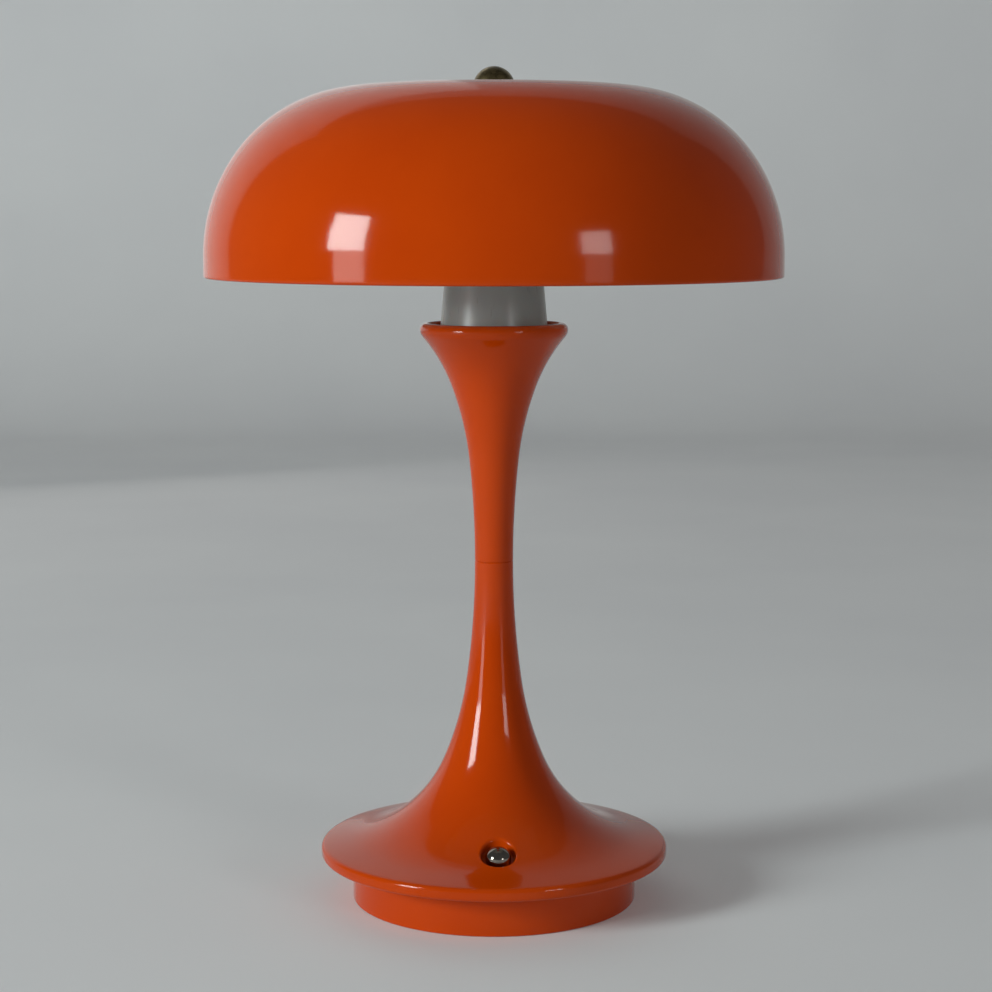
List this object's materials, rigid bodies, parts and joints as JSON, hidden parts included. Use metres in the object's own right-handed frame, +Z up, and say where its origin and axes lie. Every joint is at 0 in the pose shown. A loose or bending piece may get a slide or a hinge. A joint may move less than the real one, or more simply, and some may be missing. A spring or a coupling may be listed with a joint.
{
  "type": "mushroom table lamp",
  "caption": "Cordless table lamp with a domed lacquered shade on an opal tube, a waisted stem, a round foot with a push button, and a finial nut on the crown.",
  "frame": {"origin": "on the table under the middle of the foot", "axes": "+Z up along the stem, -Y towards the push button, +Y towards the charging inlet"},
  "size_m": [0.22, 0.22, 0.3215],
  "materials": {
    "orange_lacquer": "gloss lacquer",
    "aged_brass": "dark aged satin",
    "opal": "opal satin",
    "white_plastic": "moulded",
    "chrome": "polished",
    "zinc_steel": "zinc plated",
    "aluminium": "turned",
    "circuit_board": "solder mask",
    "white_board": "white solder mask",
    "led_yellow": "phosphor",
    "black_plastic": "moulded",
    "black_rubber": "matt",
    "cell_wrap": "shrink sleeve",
    "wire_sleeve": "sleeving"
  },
  "bodies": {
    "lamp": {"anchor_plate": "zinc_steel", "ballast_disc": "zinc_steel", "ballast_screws": "zinc_steel", "base_shell": "orange_lacquer", "battery_cell": "cell_wrap", "battery_cradle": "black_plastic", "battery_leads": "wire_sleeve", "board_components": "black_plastic", "bottom_cover": "black_plastic", "bottom_nut": "zinc_steel", "bottom_washer": "zinc_steel", "button_spring": "zinc_steel", "charge_indicator": "white_plastic", "charge_port": "zinc_steel", "cover_screws": "zinc_steel", "cradle_screws": "zinc_steel", "diffuser": "opal", "diffuser_collar": "white_plastic", "foot_pad": "black_rubber", "led_board": "white_board", "led_board_screws": "zinc_steel", "led_cable": "wire_sleeve", "led_chips": "led_yellow", "led_heat_sink": "aluminium", "main_board": "circuit_board", "main_board_screws": "zinc_steel", "plinth": "orange_lacquer", "shade": "orange_lacquer", "shade_carrier": "white_plastic", "shade_stud": "zinc_steel", "stud_nut": "zinc_steel", "switch_board": "circuit_board", "switch_board_screws": "zinc_steel", "switch_body": "black_plastic", "switch_leads": "wire_sleeve", "tie_rod": "zinc_steel", "top_nut": "zinc_steel", "top_washer": "zinc_steel", "upper_stem": "orange_lacquer"},
    "finial_washer": {"finial_washer": "white_plastic"},
    "finial": {"finial": "aged_brass"},
    "button": {"button_cap": "chrome", "button_clip": "zinc_steel"},
    "switch_plunger": {"switch_plunger": "white_plastic"}
  },
  "joints": [
    {"name": "button_press", "type": "slide", "parent": "lamp", "child": "button", "axis": [0, 0, -1], "range_m": [0, 0.0008], "stiffness_N_per_m": 300, "springref_m": -0.003, "deforming": ["button_spring"]},
    {"name": "plunger_press", "type": "slide", "parent": "lamp", "child": "switch_plunger", "axis": [0, 0, -1], "range_m": [0, 0.0008]},
    {"name": "finial_rise", "type": "slide", "parent": "lamp", "child": "finial_washer", "axis": [0, 0, 1], "range_m": [0, 0.003]},
    {"name": "finial_turn", "type": "hinge", "parent": "finial_washer", "child": "finial", "pos_m": [0, 0, 0.3155], "axis": [0, 0, 1], "range_deg": [0, 1080]}
  ],
  "couplings": [
    {"joint": "plunger_press", "follows": "button_press", "ratio": 1},
    {"joint": "finial_turn", "follows": "finial_rise", "rad_per_m": 6283.2}
  ]
}
